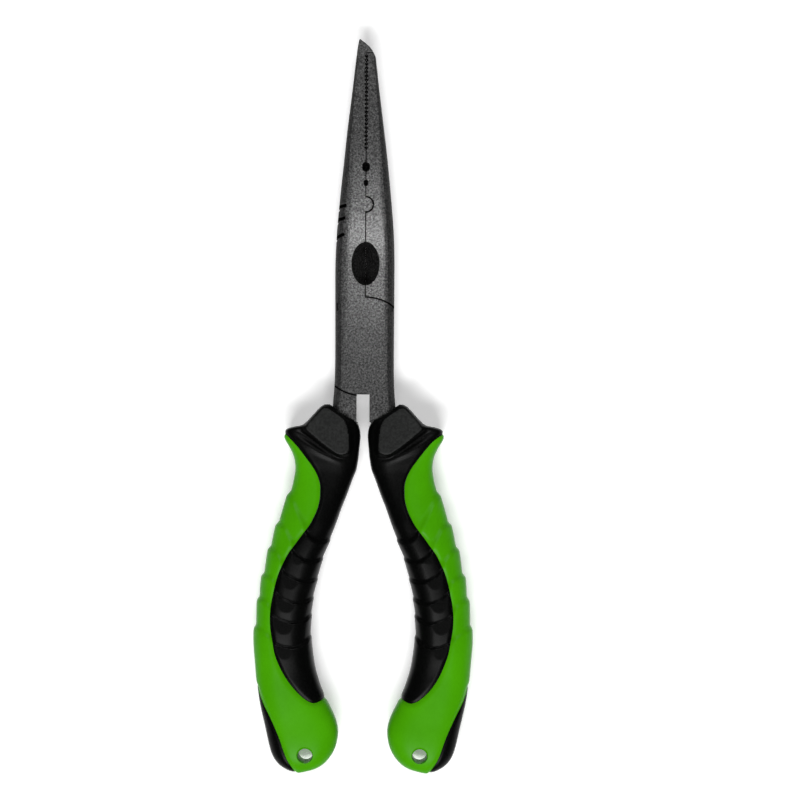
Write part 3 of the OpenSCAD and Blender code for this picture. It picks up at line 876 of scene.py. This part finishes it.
def paint_shade_on_steel(ob):
    """Paints shade into the steel: the hollow, slots, notches, lap line and mating walls get a near-black painted
    shade, and the forged chamfers along the outline a painted shade darker than the flats; the sloping faces at the
    tip get a rougher, less glossy steel.
    """
    me = ob.data
    co = np.array([p.center for p in me.polygons], float)
    nz = np.abs(np.array([p.normal.z for p in me.polygons]))
    x, y = (co[:, 0] - PX) * 1000, (co[:, 1] - PY) * 1000
    z = np.abs(co[:, 2] * 1000 - MID)
    # hit: the faces that take the near-black painted shade (hollow, slots, mating walls, crimp, lap line, notches)
    hit = (((x - SX) / 4.4) ** 2 + ((y - 24.65) / 6.7) ** 2 < 1) & (z < HH - 0.02)
    for cy, r, e in ((53.6, 1.15, 0.35), (48.75, 0.7, 0.3)):
        hit |= (np.hypot(x - SX, np.maximum(np.abs(y - cy) - e, 0)) < r + 0.05) & (z < float(cv(HEAD_H, cy)) - 0.15)
    dx = np.abs(x - SX)
    wall = nz < 0.6
    hit |= wall & (y > 14) & (y < 88.6) & (dx < 0.75)
    hit |= (z < 1.7) & (y > 14) & (y < 88.6) & ((dx < 0.75) | ((dx < 2.7) & (np.abs(y - CRIMP_Y) < 2.8)))
    hit |= wall & (np.abs(y - CRIMP_Y) < 2.6) & (dx < 2.6)
    inset = np.minimum(np.abs(x - cv(HEAD_L, y)), np.abs(x - cv(HEAD_R, y)))
    hit |= wall & (np.abs(np.hypot(x, y) - LAP_R) < 0.6) & (inset > 0.4)
    for (xa, ya), (xb, yb) in NOTCHES:
        t = np.array([xb - xa, yb - ya]) / math.hypot(xb - xa, yb - ya)
        off = np.abs(-t[1] * (x - xa) + t[0] * (y - ya))
        cut = (off < 0.62) & (x < xb + 0.3) & (z > 1.0)
        hit |= cut & (wall | (z < cv(HEAD_H, y) - 0.5))
        hit |= (np.hypot(x - xa + 0.45, y - ya + 0.9) < 0.56) & wall
    hit |= (z < 0.3) & (np.hypot(x, y) < LAP_R + 1.0)
    # edge: the outline chamfers that take the darker painted shade
    edge = (y < 87) & (nz < 0.96) & ~hit & (inset < 2.3)
    me.polygons.foreach_set("material_index", np.where(hit, 1, np.where(edge, 2, np.where((y > 87.4) & (nz < 0.9999), 3, 0))).astype(np.int32))


F_LEVER, R_LEVER = front_lever(), rear_lever()
finish_piece(F_LEVER, "front_lever", "front_jaw_lever", "head_steel", STEEL, PAINTED_SHADE_RECESS, PAINTED_SHADE_CHAMFER, TIP)
finish_piece(R_LEVER, "rear_lever", "rear_jaw_lever", "head_steel", STEEL, PAINTED_SHADE_RECESS, PAINTED_SHADE_CHAMFER, TIP)
paint_shade_on_steel(F_LEVER)
paint_shade_on_steel(R_LEVER)
finish_piece(rivet(), "rear_lever", "pivot_rivet", "rivet_steel", STEEL_R)


def mark_pad(ob, sign):
    """The flat pad of the guard takes the coarser finish."""
    me = ob.data
    co = np.array([p.center for p in me.polygons], float)
    x = (co[:, 0] - PX) * 1000 * sign
    y = (co[:, 1] - PY) * 1000
    z = np.abs(co[:, 2] * 1000 - MID)
    hit = inside(x, y, PAD) & (z > 7.2)
    me.polygons.foreach_set("material_index", hit.astype(np.int32))


r_soft = soft_grip(1)
r_soft.data.materials.append(BLACK)
r_soft.data.materials.append(PADM)
mark_pad(r_soft, 1)
l_soft0 = soft_grip(-1)
l_soft0.data.materials.append(BLACK)
l_soft0.data.materials.append(PADM)
mark_pad(l_soft0, 1)
l_soft = mirrored(l_soft0, "left_soft_grip_visual")
bpy.data.objects.remove(l_soft0)
r_hard = hard_shell(1)
r_hard.data.materials.append(GREEN)
l_hard0 = hard_shell(-1)
l_hard0.data.materials.append(GREEN)
l_hard = mirrored(l_hard0, "left_hard_shell_visual")
bpy.data.objects.remove(l_hard0)
r_heel = heel_bumper()
r_heel.data.materials.append(BLACK)
l_heel = mirrored(r_heel, "left_heel_bumper_visual")
for ob, body, node, slot in ((r_soft, "front_lever", "right_soft_grip", "black_grip"),
                             (l_soft, "rear_lever", "left_soft_grip", "black_grip"),
                             (r_hard, "front_lever", "right_hard_shell", "green_shell"),
                             (l_hard, "rear_lever", "left_hard_shell", "green_shell"),
                             (r_heel, "front_lever", "right_heel_bumper", "black_grip"),
                             (l_heel, "rear_lever", "left_heel_bumper", "black_grip")):
    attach(ob, body)
    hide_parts(node)

for n in ("left_tang_liner", "right_tang_liner"):
    o = frame["nodes"][n]
    o.data.materials.clear()
    o.data.materials.append(LINER)

# ---------------------------------------------------------------- floor, light, camera
me = bpy.data.meshes.new("floor")
me.from_pydata([(-3, -3, 0), (3, -3, 0), (3, 3, 0), (-3, 3, 0)], [], [(0, 1, 2, 3)])
floor = bpy.data.objects.new("floor", me)
bpy.context.collection.objects.link(floor)
floor.location.z = -0.0002
fm, fnt, fb = material("pale_floor")
fv = coords(fnt)
fn = noise(fnt, fv, 0.02, 2, 0.5)
fnt.links.new(ramp(fnt, fn, [(0.3, 0.86), (0.7, 0.89)]), fb.inputs["Base Color"])
fb.inputs["Roughness"].default_value = 0.9
fb.inputs["Specular IOR Level"].default_value = 0.1
fb.inputs["Emission Color"].default_value = (1, 1, 1, 1)
fb.inputs["Emission Strength"].default_value = 0.25
floor.data.materials.append(fm)

world = bpy.data.worlds.new("studio")
bpy.context.scene.world = world
world.use_nodes = True
wnt = world.node_tree
bg = wnt.nodes["Background"]
wtc = wnt.nodes.new("ShaderNodeTexCoord")
wsep = wnt.nodes.new("ShaderNodeSeparateXYZ")
wnt.links.new(wtc.outputs["Generated"], wsep.inputs["Vector"])
wnt.links.new(ramp(wnt, wsep.outputs["Z"], [(0.0, 0.16), (0.14, 0.12), (0.36, 0.035), (0.88, 0.08), (1.0, 0.12)]), bg.inputs["Color"])
bg.inputs["Strength"].default_value = 1.0


def area(name, loc, target, size, power, size_y=None):
    d = bpy.data.lights.new(name, "AREA")
    d.shape = "RECTANGLE" if size_y else "SQUARE"
    d.size = size
    if size_y:
        d.size_y = size_y
    d.energy = power
    o = bpy.data.objects.new(name, d)
    bpy.context.collection.objects.link(o)
    o.location = loc
    o.rotation_euler = (mathutils.Vector(target) - mathutils.Vector(loc)).to_track_quat("-Z", "Y").to_euler()
    return o


area("heel", (-0.10, -1.05, 1.58), (0, 0, 0), 1.1, 34.0, 0.5)
area("tip", (0.10, 1.20, 1.50), (0, 0, 0), 1.1, 14.0, 0.5)
area("top", (0.02, 0.168, 1.20), (0, 0.04, 0), 0.08, 0.60)

D = 0.75
cam_d = bpy.data.cameras.new("camera")
cam = bpy.data.objects.new("camera", cam_d)
bpy.context.collection.objects.link(cam)
cam_d.sensor_width = 36.0
cam_d.lens = 36.0 * D / 0.240
cam_d.clip_start = 0.01
cam.location = (PX + 0.0107, PY - 0.0159, MID / 1000.0 + D)
cam.rotation_euler = (0, 0, math.radians(0.3))
bpy.context.scene.camera = cam
bpy.context.scene.view_settings.view_transform = "Standard"
bpy.context.scene.view_settings.look = "None"
